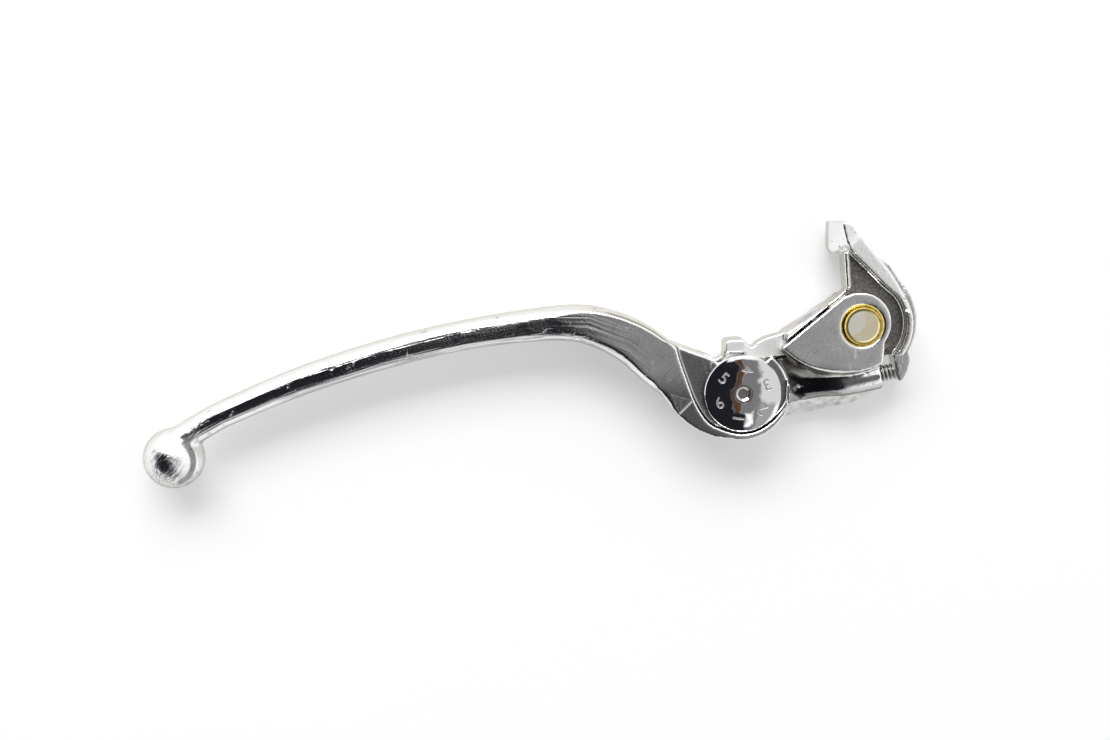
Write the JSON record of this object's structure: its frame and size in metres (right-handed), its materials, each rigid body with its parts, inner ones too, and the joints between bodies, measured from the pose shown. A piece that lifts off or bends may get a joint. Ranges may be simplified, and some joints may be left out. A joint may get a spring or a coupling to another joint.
{
  "type": "motorcycle clutch lever",
  "caption": "Ball-ended hand lever for a motorcycle clutch, with a knocker on the pivot bush and a numbered dial that turns a cam to set the reach.",
  "frame": {"origin": "centre of the pivot bush's bore, at half its length", "axes": "+Z along the pivot axis, out of the dial's side; +Y towards the handlebar; the ball end towards -X"},
  "size_m": [0.2089, 0.0715, 0.0166],
  "materials": {
    "polished_cast_aluminium": "polished casting",
    "cast_aluminium": "tumbled casting",
    "brass": "machined",
    "bronze_shim": "rolled",
    "chrome": "mirror",
    "steel": "machined",
    "black_spring_steel": "blackened",
    "spring_steel": "rolled",
    "zinc_plated_spring": "dark zinc plating"
  },
  "bodies": {
    "pivot": {"pivot_bush": "brass"},
    "knocker": {"knocker": "cast_aluminium", "upper_shim": "bronze_shim", "lower_shim": "bronze_shim", "pushrod_seat": "steel"},
    "blade": {"lever_blade": "polished_cast_aluminium", "adjuster_pin": "steel", "pin_e_ring": "black_spring_steel", "wave_washer": "spring_steel", "return_spring": "zinc_plated_spring"},
    "dial": {"adjuster_dial": "chrome", "adjuster_cam": "steel"}
  },
  "joints": [
    {"name": "lever_pull", "type": "hinge", "parent": "pivot", "child": "knocker", "pos_m": [0, 0, 0], "axis": [0, 0, 1], "range_deg": [-22, 0]},
    {"name": "reach", "type": "hinge", "parent": "knocker", "child": "blade", "pos_m": [0, 0, 0], "axis": [0, 0, 1], "range_deg": [0, 6], "deforming": ["return_spring"]},
    {"name": "dial_turn", "type": "hinge", "parent": "blade", "child": "dial", "pos_m": [-0.0316, -0.018, 0], "axis": [0, 0, 1], "range_deg": [0, 300]}
  ],
  "couplings": [
    {"joint": "dial_turn", "follows": "reach", "ratio": 50}
  ]
}
